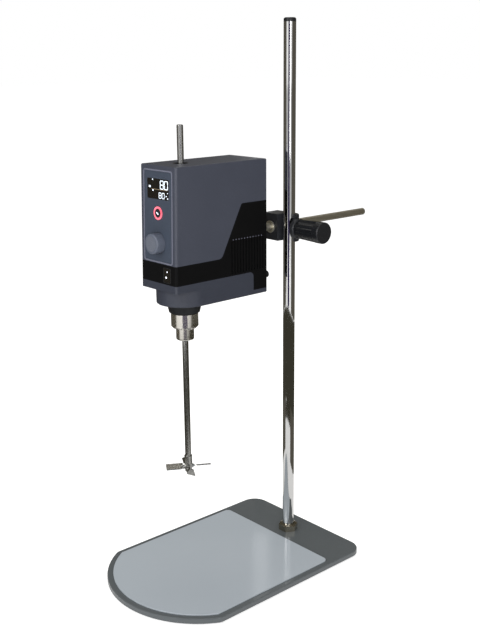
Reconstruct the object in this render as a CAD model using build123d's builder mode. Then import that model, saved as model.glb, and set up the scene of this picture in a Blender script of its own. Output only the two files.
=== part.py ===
from build123d import *
from math import cos, pi, radians, sin, tan
import os

# Driving sizes in millimetres. The pole is a standard 16 mm stand pole, and every other size was
# measured against it. Z = 0 is the bench, the head looks towards -Y.

# Plate stand
plate_width = 222
plate_side = 260
plate_bow = 66
plate_thick = 6.5
plate_corner_r = 22
plate_edge_r = 1.2
bow_corner_r = 9
foot_height = 1.5
foot_sink = 1.0
foot_r = 9
foot_inset = 24
pad_inset = 8
pad_thick = 1.5
pad_corner_r = 7
pad_to_pole = 25.5
pole_r = 8
pole_to_back = 38
pole_top = 716
pole_cap_height = 5
spigot_r = 6
spigot_nut_r = 10
spigot_nut_thick = 3.4
foot_nut_flats = 24
foot_nut_height = 9.5
foot_nut_cone = 2.2

# Cross clamp and arm rod
clamp_z = 449
rod_offset = 22
rod_r = 4.9
rod_reach = 172
clamp_half_height = 18
clamp_half_depth = 13.2
clamp_past_rod = 14
clamp_mouth_to = 14
clamp_mouth_flare = 2.5
boss_r = 13.4
boss_reach = 20
screw_r = 4
jaw_thick = 3
knob_gap = 1.2
knob_length = 43
knob_r = 14
knob_neck_r = 12.6
knob_lobes = 6
knob_scoop_r = 7.5
knob_scoop_at = 18.2
knob_disc = 9
lock_nut_flats = 17
lock_nut_thick = 6

# Stirrer head
head_width = 70
head_length = 149.5
head_height = 173
lean = radians(1.53)
shaft_from_front = 40
shaft_reach = 163
rod_above_nose = 77
band_bottom = 30.4
band_top = 54.7
lip_bottom = 20.9
seam_low_from_back = 76.1
seam_high_from_back = 42.5
seam_high = 120.6
seam_low_r = 8
seam_high_r = 4
step_from_back = 23
step_z = 6.2
step_r = 6
wall = 2.5
front_wall = 3.5
floor_wall = 3
front_edge_r = 3
outer_edge_r = 1.6
nose_edge_r = 1.4
top_hole_r = 10
vents_from_back = 59.5
vent_pitch = 4.8
vent_count = 12
vent_width = 2.6
vent_depth = 1.3
vent_low = 32.5
vent_high = 75

# Front panel
panel_half = 27.5
panel_low = 56.5
panel_high = 167
panel_corner_r = 3
panel_sink = 1.5
panel_thick = 1.0
display_width = 42
display_height = 24.4
display_mid = 145
display_corner_r = 1
glass_thick = 1.2
lcd_width = 39
lcd_height = 21.6
key_up = 116
ring_r = 8
ring_bore_r = 5.7
ring_proud = 0.3
key_r = 5.35
key_proud = 0.6
key_travel = 0.8
key_flange_r = 6.6
key_flange_thick = 1.0
key_stem_r = 2
knob_up = 79.5
dial_r = 12.6
dial_seat_r = 13.5
dial_proud = 11
dial_edge_r = 1.8
dial_cap_r = 9.6
dial_cap_thick = 1.0
dial_face_to_shaft = 4
encoder_shaft_r = 3
encoder_size = 13
encoder_bush_r = 4.5
board_depth = 9.5
board_thick = 1.6
board_half = 25
board_low = 66
board_high = 162
board_corner_r = 2
board_post_r = 2.5
board_post_inset = 3
window_x = 17.2
window_up = 41.8
window_width = 13
window_height = 17.4
window_sink = 1.0
window_corner_r = 1
upper_light_r = 0.9
upper_light_x = 0.1
upper_light_up = 4.4
lower_light_r = 1.3
lower_light_x = -1.9
lower_light_up = -2.7

# Drive
spindle_r = 7.45
spindle_bore_r = 4.06
spindle_top = 164
bearing_r = 14
bearing_bore_r = 7.5
bearing_thick = 7
lower_bearing_at = -6.5
upper_bearing_at = 38.5
flange_top_r = 22.6
flange_low_r = 19.6
flange_drop = 12.7
flange_lip_r = 8.6
flange_spigot_r = 16
flange_spigot = 6
flange_screw_ring = 19
flange_screws_count = 4
chassis_z = 33
chassis_thick = 4
chassis_lip_r = 10
chassis_half = 30.5
chassis_front = 9
chassis_hub_r = 17
chassis_hub = 10.5
chassis_wall_from_back = 25.5
chassis_wall_thick = 6
chassis_wall_top = 104
rod_boss_r = 11
post_r = 3.8
post_x = 26.4
post_from_shaft = 24
post_from_wall = 7
post_screw_r = 1.6
screw_head_r = 2.9
screw_head_thick = 2.2
motor_r = 20
motor_wall = 2
motor_height = 60
motor_core_margin = 10
motor_shaft_r = 3
motor_pilot_r = 7
motor_core_r = 15
motor_screw_ring = 14
pulley_z = 12
pulley_height = 14
pulley_rim = 1.2
spindle_pulley_r = 19
motor_pulley_r = 9
pulley_rim_over = 2
belt_thick = 1.4
bush_flange_r = 12.6
bush_bore_r = 8.3
bush_height = 12
bush_flange_thick = 2

# Chuck and stirring tool
chuck_gap = 0.8
chuck_sleeve_r = 17.4
chuck_sleeve_height = 17.6
chuck_bevel = 2.8
chuck_bevel_r = 14.4
chuck_teeth = 28
chuck_r = 11.5
chuck_bottom = 49.6
chuck_edge_r = 2.4
chuck_socket = 12.5
chuck_turn = 21.5
key_hole_r = 1.7
key_hole_up = 8.2
key_hole_depth = 3
jaw_width = 3.2
jaw_inner = 4.1
jaw_outer = 7.2
jaw_top = 30.5
jaw_tip = 2.2
jaw_lean = radians(20)
jaw_travel = 2.5
shaft_r = 4
shaft_above_nose = 219
shaft_length = 450
hub_r = 5.2
hub_height = 22
hub_cone = 6
hub_tip_r = 4.4
hub_screw_r = 1.5
hub_screw_up = 9
hub_screw_turn = radians(-41.5)
blade_count = 4
blade_tip_r = 29.5
blade_root_r = 10.5
blade_chord = 11
blade_thick = 1.4
blade_pitch = 20
blade_root_pitch = 70
blade_root_chord = 7
blade_turn = -31.5
blade_up = 7

# Mains side, on the back
inlet_x = -8
inlet_up = 27
inlet_width = 27
inlet_height = 19.5
inlet_opening_width = 23.6
inlet_opening_height = 15.6
inlet_depth = 18
inlet_cavity = 17
inlet_flange_width = 33
inlet_flange_height = 25
inlet_flange_thick = 1.6
inlet_corner_r = 2
pin_length = 10.5
pin_wide = 4
pin_thick = 2
pin_spread = 7
pin_rise = 2
switch_x = -20
switch_up = 54
switch_width = 13
switch_height = 19
switch_frame_edge = 2
switch_depth = 14
switch_tilt = radians(8)
rocker_r = 7.4
rocker_width = 8.6
switch_flange_thick = 1.6
switch_corner_r = 1
fuse_x = 27
fuse_up = 21.8
fuse_cap_r = 4.7
fuse_cap_reach = 8
fuse_hole_r = 3.6
fuse_holder_r = 5
fuse_plug_r = 2.6
fuse_plug_reach = 10
fuse_depth = 22
power_board_half = 24
power_board_from_shaft = 28
power_board_from_back = 11.5
power_board_thick = 1.6
coil_x = -10
coil_width = 24
coil_height = 20
capacitor_x = 14
capacitor_r = 6.5
terminal_half = 20
terminal_height = 12

# Clearances
fit_gap = 0.05
slide_gap = 0.08
free_gap = 0.3
belt_gap = 0.3

# Places worked out from the driving sizes
plate_top = foot_height + plate_thick
front_reach = plate_side - pole_to_back + plate_bow
pole_y = (front_reach - rod_reach) / 2
plate_back = pole_y + pole_to_back
side_front = plate_back - plate_side
head_x = -rod_offset
shaft_y = pole_y - shaft_reach
front_y = shaft_y - shaft_from_front
back_y = front_y + head_length
nose_z = clamp_z - rod_above_nose
half_width = head_width / 2
side_in = half_width - wall

# Places in the head, as y from its front
seam_low_y = head_length - seam_low_from_back
seam_high_y = head_length - seam_high_from_back
step_y = head_length - step_from_back
vent_first_y = head_length - vents_from_back
chassis_wall_y = head_length - chassis_wall_from_back
post_front_y = shaft_from_front + post_from_shaft
post_rear_y = chassis_wall_y - post_from_wall
motor_space = chassis_wall_y - shaft_from_front - chassis_hub_r
motor_from_shaft = chassis_hub_r + motor_space / 2
motor_y = shaft_y + motor_from_shaft
power_board_front = shaft_from_front + power_board_from_shaft
power_board_back = head_length - power_board_from_back
power_board_length = power_board_back - power_board_front

# Heights of the shaft and chuck above the bench
shaft_top = nose_z + shaft_above_nose
shaft_end = shaft_top - shaft_length
chuck_top = nose_z - flange_drop - chuck_gap
chuck_end = nose_z - chuck_bottom
sleeve_end = chuck_top - chuck_sleeve_height

# Planes and alignments
face = Plane(origin=(head_x, front_y, nose_z), x_dir=(1, 0, 0), z_dir=(0, -cos(lean), sin(lean)))
side = Plane(origin=(head_x, front_y, nose_z), x_dir=(0, 1, 0), z_dir=(1, 0, 0))
upward = (Align.CENTER, Align.CENTER, Align.MIN)
downward = (Align.CENTER, Align.CENTER, Align.MAX)


def on_face(x, up, out=0):
    """A plane parallel to the leaning front, x across and up along it."""
    return Plane(face.from_local_coords((x, up, out)), x_dir=face.x_dir, z_dir=face.z_dir)


def on_back(x, up, out=0):
    """A plane on the head's back, looking outwards."""
    return Plane(origin=(head_x + x, back_y + out, nose_z + up), x_dir=(-1, 0, 0), z_dir=(0, 1, 0))


def level(up, y=shaft_y, x=head_x):
    """A level plane at a height above the nose, centred on the shaft unless told otherwise."""
    return Plane(origin=(x, y, nose_z + up))


def lean_at(up):
    """How far the leaning front lies behind its foot at a height above the nose."""
    return up * tan(lean)


def save(piece, name):
    piece.part.label = name
    export_step(piece.part, f"parts/{name}.step")


os.makedirs("parts", exist_ok=True)

# Outline of the plate, used by the plate and its pad
with BuildSketch() as plate_outline:
    with BuildLine():
        Polyline(
            (plate_width / 2, side_front),
            (plate_width / 2, plate_back),
            (-plate_width / 2, plate_back),
            (-plate_width / 2, side_front),
        )
        ThreePointArc(
            (-plate_width / 2, side_front), (0, side_front - plate_bow), (plate_width / 2, side_front)
        )
    make_face()
    fillet(plate_outline.vertices().group_by(Axis.Y)[-1], plate_corner_r)
    fillet(plate_outline.vertices().group_by(Axis.Y)[0], bow_corner_r)

foot_x = plate_width / 2 - foot_inset
foot_spots = [
    (foot_x, plate_back - foot_inset, 0),
    (-foot_x, plate_back - foot_inset, 0),
    (foot_x, side_front + foot_inset / 2, 0),
    (-foot_x, side_front + foot_inset / 2, 0),
]

with BuildPart() as base_plate:
    with BuildSketch(Plane.XY.offset(foot_height)):
        add(plate_outline.sketch)
    extrude(amount=plate_thick)
    fillet(base_plate.faces().sort_by(Axis.Z)[-1].edges(), plate_edge_r)
    with Locations((0, pole_y, foot_height)):
        Cylinder(spigot_r + fit_gap, plate_thick, align=upward, mode=Mode.SUBTRACT)
        Cylinder(
            spigot_nut_r + free_gap, spigot_nut_thick + free_gap, align=upward, mode=Mode.SUBTRACT
        )
    with BuildSketch(Plane.XY.offset(foot_height)):
        with Locations(*foot_spots):
            Circle(foot_r)
    extrude(amount=foot_sink, mode=Mode.SUBTRACT)
save(base_plate, "base_plate")

with BuildPart() as base_feet:
    with BuildSketch():
        with Locations(*foot_spots):
            Circle(foot_r)
    extrude(amount=foot_height + foot_sink)
save(base_feet, "base_feet")

with BuildPart() as base_pad:
    with BuildSketch(Plane.XY.offset(plate_top)):
        add(plate_outline.sketch)
        offset(amount=-pad_inset, kind=Kind.INTERSECTION)
        with Locations((0, pole_y - pad_to_pole)):
            Rectangle(
                plate_width,
                plate_side,
                align=(Align.CENTER, Align.MIN),
                mode=Mode.SUBTRACT,
            )
        fillet(vertices().group_by(Axis.Y)[-1], pad_corner_r)
    extrude(amount=pad_thick)
    fillet(base_pad.faces().sort_by(Axis.Z)[-1].edges(), pad_thick / 3)
save(base_pad, "base_pad")

with BuildPart() as pole_nut:
    with BuildSketch(Plane(origin=(0, pole_y, plate_top))):
        RegularPolygon(foot_nut_flats / 2, 6, major_radius=False)
        Circle(pole_r + fit_gap, mode=Mode.SUBTRACT)
    extrude(amount=foot_nut_height)
    with BuildSketch(Plane(origin=(0, pole_y, 0), x_dir=(1, 0, 0), z_dir=(0, -1, 0))):
        with BuildLine():
            Polyline(
                (0, plate_top),
                (foot_nut_flats, plate_top),
                (foot_nut_flats / 2 + foot_nut_cone, plate_top + foot_nut_height - foot_nut_cone),
                (foot_nut_flats / 2 - foot_nut_cone, plate_top + foot_nut_height),
                (0, plate_top + foot_nut_height),
                close=True,
            )
        make_face()
    revolve(axis=Axis((0, pole_y, 0), (0, 0, 1)), mode=Mode.INTERSECT)
save(pole_nut, "pole_nut")

pole_base = plate_top + free_gap

with BuildPart() as pole:
    with Locations((0, pole_y, pole_base)):
        Cylinder(pole_r, pole_top - pole_cap_height - pole_base, align=upward)
        Cylinder(spigot_r, pole_base - foot_height, align=downward)
save(pole, "pole")

with BuildPart() as pole_cap:
    with Locations((0, pole_y, pole_top)):
        Cylinder(pole_r, pole_cap_height, align=downward)
    fillet(pole_cap.faces().sort_by(Axis.Z)[-1].edges(), pole_cap_height / 2)
save(pole_cap, "pole_cap")

with BuildPart() as spigot_nut:
    with Locations((0, pole_y, foot_height)):
        Cylinder(spigot_nut_r, spigot_nut_thick, align=upward)
        Cylinder(spigot_r, spigot_nut_thick, align=upward, mode=Mode.SUBTRACT)
save(spigot_nut, "spigot_nut")

# Cross clamp: an upright seat open to the front for the pole, a level bore for the rod, and a
# screw for each
pole_side = Plane(origin=(0, pole_y, clamp_z), x_dir=(0, 1, 0), z_dir=(1, 0, 0))
rod_side = Plane(origin=(head_x, pole_y, clamp_z), x_dir=(0, 1, 0), z_dir=(-1, 0, 0))
clamp_left = head_x - clamp_past_rod

with BuildPart() as clamp_body:
    with BuildSketch(Plane.XY.offset(clamp_z - clamp_half_height)):
        with Locations((0, pole_y)):
            Rectangle(
                -clamp_left, 2 * clamp_half_depth, align=(Align.MAX, Align.CENTER)
            )
            Circle(clamp_half_depth)
    extrude(amount=2 * clamp_half_height)
    fillet(clamp_body.edges(), plate_edge_r)
    with BuildSketch(pole_side):
        Circle(boss_r)
    extrude(amount=boss_reach)
    with BuildSketch(rod_side):
        Circle(boss_r)
    extrude(amount=boss_reach)
    chamfer(clamp_body.faces().sort_by(Axis.X)[-1].edges(), plate_edge_r)
    chamfer(clamp_body.faces().sort_by(Axis.X)[0].edges(), plate_edge_r)
    with BuildSketch(pole_side):
        Circle(screw_r + slide_gap)
    extrude(amount=boss_reach, mode=Mode.SUBTRACT)
    with BuildSketch(rod_side):
        Circle(screw_r + slide_gap)
    extrude(amount=boss_reach, mode=Mode.SUBTRACT)
    with Locations((0, pole_y, clamp_z)):
        Cylinder(pole_r + slide_gap, 4 * clamp_half_height, mode=Mode.SUBTRACT)
    with BuildSketch(Plane.XY.offset(clamp_z - clamp_half_height)):
        with BuildLine():
            Polyline(
                (-pole_r - slide_gap, pole_y),
                (-pole_r - slide_gap - clamp_mouth_flare, pole_y - 2 * clamp_half_depth),
                (clamp_mouth_to, pole_y - 2 * clamp_half_depth),
                (clamp_mouth_to, pole_y),
                close=True,
            )
        make_face()
    extrude(amount=2 * clamp_half_height, mode=Mode.SUBTRACT)
    with BuildSketch(Plane(origin=(head_x, pole_y, clamp_z), x_dir=(1, 0, 0), z_dir=(0, 1, 0))):
        Circle(rod_r + slide_gap)
    extrude(amount=2 * clamp_half_depth, both=True, mode=Mode.SUBTRACT)
save(clamp_body, "clamp_body")

for name, plane, held_r in (("pole", pole_side, pole_r), ("rod", rod_side, rod_r)):
    jaw_at = held_r + slide_gap
    knob_at = boss_reach + knob_gap
    with BuildPart() as jaw:
        with BuildSketch(plane.offset(jaw_at)):
            Circle(screw_r)
        extrude(amount=jaw_thick)
    save(jaw, f"{name}_jaw")

    with BuildPart() as screw:
        with BuildSketch(plane.offset(jaw_at + jaw_thick)):
            Circle(screw_r)
        extrude(amount=knob_at + knob_length / 2 - jaw_at - jaw_thick)
    save(screw, f"{name}_screw")

    with BuildPart() as grip:
        with BuildSketch(plane.offset(knob_at)):
            Circle(knob_neck_r)
        with BuildSketch(plane.offset(knob_at + knob_length - knob_disc)):
            Circle(knob_r)
        loft()
        with BuildSketch(plane.offset(knob_at)):
            with PolarLocations(knob_scoop_at, knob_lobes):
                Circle(knob_scoop_r)
        extrude(amount=knob_length - knob_disc - knob_gap, mode=Mode.SUBTRACT)
        with BuildSketch(plane.offset(knob_at + knob_length - knob_disc)):
            Circle(knob_r)
        extrude(amount=knob_disc)
        outer = grip.faces().sort_by(Axis(plane.origin, plane.z_dir))[-1]
        fillet(outer.edges(), outer_edge_r)
        with BuildSketch(plane.offset(knob_at)):
            Circle(screw_r)
        extrude(amount=knob_length / 2, mode=Mode.SUBTRACT)
    save(grip, f"{name}_knob")

# Arm rod and its lock nut
rod_back = Plane(origin=(head_x, pole_y + rod_reach, clamp_z), x_dir=(1, 0, 0), z_dir=(0, -1, 0))
rod_front_y = front_y + chassis_wall_y + free_gap
with BuildPart() as arm_rod:
    with BuildSketch(rod_back):
        Circle(rod_r)
    extrude(amount=pole_y + rod_reach - rod_front_y)
    chamfer(arm_rod.faces().sort_by(Axis.Y)[-1].edges(), plate_edge_r / 2)
save(arm_rod, "arm_rod")

with BuildPart() as rod_lock_nut:
    with BuildSketch(on_back(0, rod_above_nose, free_gap)):
        RegularPolygon(lock_nut_flats / 2, 6, major_radius=False)
        Circle(rod_r, mode=Mode.SUBTRACT)
    extrude(amount=lock_nut_thick)
save(rod_lock_nut, "rod_lock_nut")

# Outlines of the head, seen from its right side: y from the front, z above the nose
with BuildSketch() as shell_side:
    with BuildLine():
        FilletPolyline(
            (lean_at(band_top), band_top),
            (seam_low_y, band_top),
            (seam_high_y, seam_high),
            (head_length, seam_high),
            (head_length, head_height),
            (lean_at(head_height), head_height),
            radius=[0, seam_low_r, seam_high_r, 0, 0, 0],
            close=True,
        )
    make_face()

with BuildSketch() as cover_side:
    with BuildLine():
        FilletPolyline(
            (lean_at(band_bottom), band_bottom),
            (step_y, band_bottom),
            (step_y, step_z),
            (head_length, step_z),
            (head_length, seam_high),
            (seam_high_y, seam_high),
            (seam_low_y, band_top),
            (lean_at(band_top), band_top),
            radius=[0, step_r, 0, 0, 0, seam_high_r, seam_low_r, 0],
            close=True,
        )
    make_face()

with BuildSketch() as lower_side:
    with BuildLine():
        FilletPolyline(
            (lean_at(band_bottom), band_bottom),
            (step_y, band_bottom),
            (step_y, step_z),
            (head_length, step_z),
            (head_length, 0),
            (shaft_from_front, 0),
            (shaft_from_front, lip_bottom),
            (lean_at(lip_bottom), lip_bottom),
            radius=[0, step_r, 0, 0, 0, 0, 0, 0],
            close=True,
        )
    make_face()

with BuildSketch() as cavity_side:
    with BuildLine():
        Polyline(
            (front_wall / cos(lean), 0),
            (head_length - wall, 0),
            (head_length - wall, head_height - wall),
            (lean_at(head_height - wall) + front_wall / cos(lean), head_height - wall),
            close=True,
        )
    make_face()

with BuildPart() as upper_shell:
    with BuildSketch(side):
        add(shell_side.sketch)
    extrude(amount=half_width, both=True)
    front_corners = upper_shell.edges().filter_by(Axis.X, reverse=True).group_by(Axis.Y)[0]
    fillet(front_corners.sort_by(Edge.length)[-2:], front_edge_r)
    fillet(upper_shell.faces().sort_by(Axis.Z)[-1].edges(), outer_edge_r)
    with BuildSketch(side):
        add(cavity_side.sketch)
    extrude(amount=side_in, both=True, mode=Mode.SUBTRACT)
    # Pocket for the front panel, and openings for display, key and knob
    with BuildSketch(on_face(0, (panel_low + panel_high) / 2)):
        RectangleRounded(2 * panel_half, panel_high - panel_low, panel_corner_r)
    extrude(amount=-panel_sink, mode=Mode.SUBTRACT)
    with BuildSketch(on_face(0, 0)):
        with Locations((0, display_mid)):
            Rectangle(lcd_width, lcd_height)
        with Locations((0, key_up)):
            Circle(ring_r)
        with Locations((0, knob_up)):
            Circle(encoder_bush_r)
    extrude(amount=-2 * front_wall, mode=Mode.SUBTRACT)
    with Locations(level(head_height)):
        Cylinder(top_hole_r, 2 * wall, align=downward, mode=Mode.SUBTRACT)
    # Posts for the display board
    with BuildSketch(on_face(0, (board_low + board_high) / 2, -front_wall + free_gap)):
        with GridLocations(
            2 * (board_half - board_post_inset), board_high - board_low - 2 * board_post_inset, 2, 2
        ):
            Circle(board_post_r)
    extrude(amount=-(board_depth - front_wall + free_gap))
save(upper_shell, "upper_shell")

with BuildPart() as rear_cover:
    with BuildSketch(side):
        add(cover_side.sketch)
    extrude(amount=half_width, both=True)
    front_corners = rear_cover.edges().filter_by(Axis.X, reverse=True).group_by(Axis.Y)[0]
    fillet(front_corners.sort_by(Edge.length)[-2:], front_edge_r)
    with BuildSketch(side):
        add(cavity_side.sketch)
    extrude(amount=side_in, both=True, mode=Mode.SUBTRACT)
    # Vent grooves down both sides
    for flank in (1, -1):
        groove_plane = Plane(
            origin=(head_x + flank * half_width, front_y, nose_z), x_dir=(0, 1, 0), z_dir=(1, 0, 0)
        )
        with BuildSketch(groove_plane):
            for groove in range(vent_count):
                with Locations((vent_first_y + groove * vent_pitch, (vent_low + vent_high) / 2)):
                    SlotOverall(vent_high - vent_low, vent_width, rotation=90)
        extrude(amount=-flank * vent_depth, mode=Mode.SUBTRACT)
    # Window in the band
    with BuildSketch(on_face(window_x, window_up)):
        RectangleRounded(window_width, window_height, window_corner_r)
    extrude(amount=-window_sink, mode=Mode.SUBTRACT)
    # Openings in the back
    with BuildSketch(on_back(0, 0)):
        with Locations((0, rod_above_nose)):
            Circle(rod_r + free_gap)
        with Locations((-inlet_x, inlet_up)):
            Rectangle(inlet_width, inlet_height)
        with Locations((-switch_x, switch_up)):
            Rectangle(switch_width, switch_height)
        with Locations((-fuse_x, fuse_up)):
            Circle(fuse_hole_r)
    extrude(amount=-2 * wall, mode=Mode.SUBTRACT)
save(rear_cover, "rear_cover")

# Four posts carry the chassis; places are across and back from the shaft
posts = [
    (flank * post_x, y - shaft_from_front)
    for flank in (1, -1)
    for y in (post_front_y, post_rear_y)
]

with BuildPart() as lower_housing:
    with BuildSketch(side):
        add(lower_side.sketch)
    extrude(amount=half_width, both=True)
    front_corners = lower_housing.edges().filter_by(Axis.X, reverse=True).group_by(Axis.Y)[0]
    fillet(front_corners.sort_by(Edge.length)[-2:], front_edge_r)
    with Locations(level(0)):
        Cylinder(half_width, lip_bottom, align=upward)
    fillet(lower_housing.faces().sort_by(Axis.Z)[0].edges(), nose_edge_r)
    # Cavity: round in the nose, square above it
    with Locations(level(floor_wall)):
        Cylinder(side_in, band_bottom, align=upward, mode=Mode.SUBTRACT)
        Box(
            2 * side_in,
            head_length - wall - shaft_from_front,
            band_bottom,
            align=(Align.CENTER, Align.MIN, Align.MIN),
            mode=Mode.SUBTRACT,
        )
    with Locations(level(lip_bottom + wall)):
        Box(
            2 * side_in,
            shaft_from_front - front_wall,
            band_bottom,
            align=(Align.CENTER, Align.MAX, Align.MIN),
            mode=Mode.SUBTRACT,
        )
    with BuildSketch(level(floor_wall)):
        with Locations(*posts):
            Circle(post_r)
    extrude(amount=chassis_z - floor_wall)
    with BuildSketch(level(0)):
        Circle(flange_spigot_r)
        with Locations(*posts):
            Circle(post_screw_r)
        with PolarLocations(flange_screw_ring, flange_screws_count, start_angle=45):
            Circle(post_screw_r)
    extrude(amount=chassis_z, mode=Mode.SUBTRACT)
    with BuildSketch(level(0)):
        with Locations(*posts):
            Circle(screw_head_r)
    extrude(amount=screw_head_thick, mode=Mode.SUBTRACT)
save(lower_housing, "lower_housing")

# Front of the head: panel, display, start key, speed knob
with BuildPart() as front_panel:
    with BuildSketch(on_face(0, (panel_low + panel_high) / 2, -panel_sink)):
        RectangleRounded(2 * panel_half, panel_high - panel_low, panel_corner_r)
    extrude(amount=panel_thick)
    with BuildSketch(on_face(0, 0, -panel_sink)):
        with Locations((0, display_mid)):
            RectangleRounded(display_width, display_height, display_corner_r)
        with Locations((0, key_up)):
            Circle(ring_r)
        with Locations((0, knob_up)):
            Circle(dial_seat_r)
    extrude(amount=panel_thick, mode=Mode.SUBTRACT)
save(front_panel, "front_panel")

with BuildPart() as display_window:
    with BuildSketch(on_face(0, display_mid, -panel_sink)):
        RectangleRounded(display_width, display_height, display_corner_r)
    extrude(amount=glass_thick)
save(display_window, "display_window")

with BuildPart() as lcd_module:
    with BuildSketch(on_face(0, display_mid, -panel_sink)):
        Rectangle(lcd_width, lcd_height)
    extrude(amount=-(board_depth - panel_sink))
save(lcd_module, "lcd_module")

with BuildPart() as display_board:
    with BuildSketch(on_face(0, (board_low + board_high) / 2, -board_depth)):
        RectangleRounded(2 * board_half, board_high - board_low, board_corner_r)
    extrude(amount=-board_thick)
save(display_board, "display_board")

with BuildPart() as key_ring:
    with BuildSketch(on_face(0, key_up, -front_wall)):
        Circle(ring_r)
        Circle(ring_bore_r, mode=Mode.SUBTRACT)
    extrude(amount=front_wall + ring_proud)
save(key_ring, "key_ring")

with BuildPart() as start_key:
    with BuildSketch(on_face(0, key_up, key_proud)):
        Circle(key_r)
    extrude(amount=-(key_proud + front_wall + free_gap))
    with BuildSketch(on_face(0, key_up, -front_wall - free_gap)):
        Circle(key_flange_r)
    extrude(amount=-key_flange_thick)
    with BuildSketch(on_face(0, key_up, -front_wall - free_gap)):
        Circle(key_stem_r)
    extrude(amount=-(board_depth - key_travel - 2 * free_gap - front_wall))
    key_front = start_key.faces().sort_by(Axis(face.origin, face.z_dir))[-1]
    fillet(key_front.edges(), key_proud / 2)
save(start_key, "start_key")

with BuildPart() as encoder:
    with BuildSketch(on_face(0, knob_up, -front_wall)):
        Rectangle(encoder_size, encoder_size)
    extrude(amount=-(board_depth - front_wall))
    with BuildSketch(on_face(0, knob_up, -front_wall)):
        Circle(encoder_bush_r)
    extrude(amount=front_wall - panel_sink)
    with BuildSketch(on_face(0, knob_up)):
        Circle(encoder_shaft_r + fit_gap)
    extrude(amount=-(board_depth - board_thick), mode=Mode.SUBTRACT)
save(encoder, "encoder")

dial_foot = -panel_sink + free_gap
dial_shaft_end = dial_proud - dial_face_to_shaft
with BuildPart() as speed_knob:
    with BuildSketch(on_face(0, knob_up, dial_foot)):
        Circle(dial_r)
    extrude(amount=dial_proud - dial_foot)
    dial_front = speed_knob.faces().sort_by(Axis(face.origin, face.z_dir))[-1]
    fillet(dial_front.edges(), dial_edge_r)
    with BuildSketch(on_face(0, knob_up, dial_proud)):
        Circle(dial_cap_r)
    extrude(amount=-dial_cap_thick, mode=Mode.SUBTRACT)
    with BuildSketch(on_face(0, knob_up, dial_foot)):
        Circle(encoder_shaft_r)
    extrude(amount=dial_shaft_end - dial_foot, mode=Mode.SUBTRACT)
save(speed_knob, "speed_knob")

with BuildPart() as knob_cap:
    with BuildSketch(on_face(0, knob_up, dial_proud)):
        Circle(dial_cap_r)
    extrude(amount=-dial_cap_thick)
save(knob_cap, "knob_cap")

with BuildPart() as encoder_shaft:
    with BuildSketch(on_face(0, knob_up, dial_shaft_end)):
        Circle(encoder_shaft_r)
    extrude(amount=-(dial_shaft_end + board_depth - 2 * board_thick))
save(encoder_shaft, "encoder_shaft")

# Two status lights in a dark window in the band
lights = [
    (upper_light_x, upper_light_up, upper_light_r),
    (lower_light_x, lower_light_up, lower_light_r),
]
with BuildPart() as indicator_window:
    with BuildSketch(on_face(window_x, window_up)):
        RectangleRounded(window_width, window_height, window_corner_r)
        for x, up, r in lights:
            with Locations((x, up)):
                Circle(r, mode=Mode.SUBTRACT)
    extrude(amount=-window_sink)
save(indicator_window, "indicator_window")

with BuildPart() as status_lights:
    with BuildSketch(on_face(window_x, window_up)):
        for x, up, r in lights:
            with Locations((x, up)):
                Circle(r)
    extrude(amount=-window_sink)
save(status_lights, "status_lights")

# Chassis: floor plate, bearing hub, motor seat, rear wall and rod boss
hub_top = chassis_z + chassis_thick + chassis_hub
bearing_seat_top = upper_bearing_at + bearing_thick
with BuildPart() as chassis:
    with BuildSketch(level(chassis_z, front_y)):
        with Locations((0, chassis_front)):
            Rectangle(
                2 * chassis_half,
                chassis_wall_y + chassis_wall_thick - chassis_front,
                align=(Align.CENTER, Align.MIN),
            )
    extrude(amount=chassis_thick)
    with BuildSketch(level(chassis_z, front_y)):
        with Locations((0, chassis_wall_y)):
            Rectangle(2 * chassis_half, chassis_wall_thick, align=(Align.CENTER, Align.MIN))
    extrude(amount=chassis_wall_top - chassis_z)
    with Locations(level(chassis_z)):
        Cylinder(chassis_hub_r, hub_top - chassis_z, align=upward)
        Cylinder(bearing_r, bearing_seat_top - chassis_z, align=upward, mode=Mode.SUBTRACT)
        Cylinder(chassis_lip_r, hub_top - chassis_z, align=upward, mode=Mode.SUBTRACT)
    with BuildSketch(on_back(0, rod_above_nose, -wall)):
        Circle(rod_boss_r)
    extrude(amount=-(head_length - wall - chassis_wall_y))
    with BuildSketch(on_back(0, rod_above_nose)):
        Circle(rod_r + fit_gap)
    extrude(amount=-head_length + chassis_wall_y, mode=Mode.SUBTRACT)
    with BuildSketch(level(chassis_z)):
        with Locations(*posts):
            Circle(post_screw_r)
        with Locations((0, motor_from_shaft)):
            Circle(motor_pilot_r)
            with PolarLocations(motor_screw_ring, 4, start_angle=45):
                Circle(post_screw_r)
    extrude(amount=chassis_thick, mode=Mode.SUBTRACT)
save(chassis, "chassis")

motor_foot = chassis_z + chassis_thick
with BuildPart() as motor_case:
    with Locations(level(motor_foot, motor_y)):
        Cylinder(motor_r, motor_height, align=upward)
        Cylinder(motor_pilot_r, chassis_thick, align=downward)
    fillet(motor_case.faces().sort_by(Axis.Z)[-1].edges(), motor_wall)
    with Locations(level(motor_foot + motor_wall, motor_y)):
        Cylinder(motor_r - motor_wall, motor_height - 2 * motor_wall, align=upward, mode=Mode.SUBTRACT)
    with BuildSketch(level(chassis_z, motor_y)):
        Circle(motor_shaft_r + fit_gap)
        with PolarLocations(motor_screw_ring, 4, start_angle=45):
            Circle(post_screw_r)
    extrude(amount=motor_height / 2, mode=Mode.SUBTRACT)
    with Locations(level(motor_foot + motor_height, motor_y)):
        Cylinder(motor_shaft_r + fit_gap, 2 * motor_wall, align=downward, mode=Mode.SUBTRACT)
save(motor_case, "motor_case")

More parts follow.
